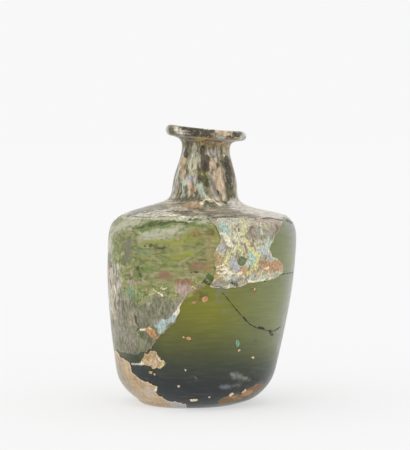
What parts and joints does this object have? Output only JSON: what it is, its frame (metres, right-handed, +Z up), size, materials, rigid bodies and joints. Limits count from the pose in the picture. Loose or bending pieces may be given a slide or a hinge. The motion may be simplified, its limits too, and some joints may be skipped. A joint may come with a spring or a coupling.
{
  "type": "ancient glass bottle",
  "caption": "Free-blown ancient glass bottle with a broad body narrowing to a rounded heel, a low shoulder, a tapering neck and a thick flat lip, hollow and open at the mouth.",
  "frame": {"origin": "on the resting plane, below the middle of the bottle's outline", "axes": "+Z up along the bottle, +X to the right of the front, -Y out of the front"},
  "size_m": [0.0858, 0.0846, 0.1265],
  "materials": {
    "glass": "olive green blown glass, satin from burial",
    "weathering": "dull grey-beige burial crust with iridescent and cream flakes"
  },
  "bodies": {
    "root": {"bottle": "glass"}
  },
  "joints": []
}
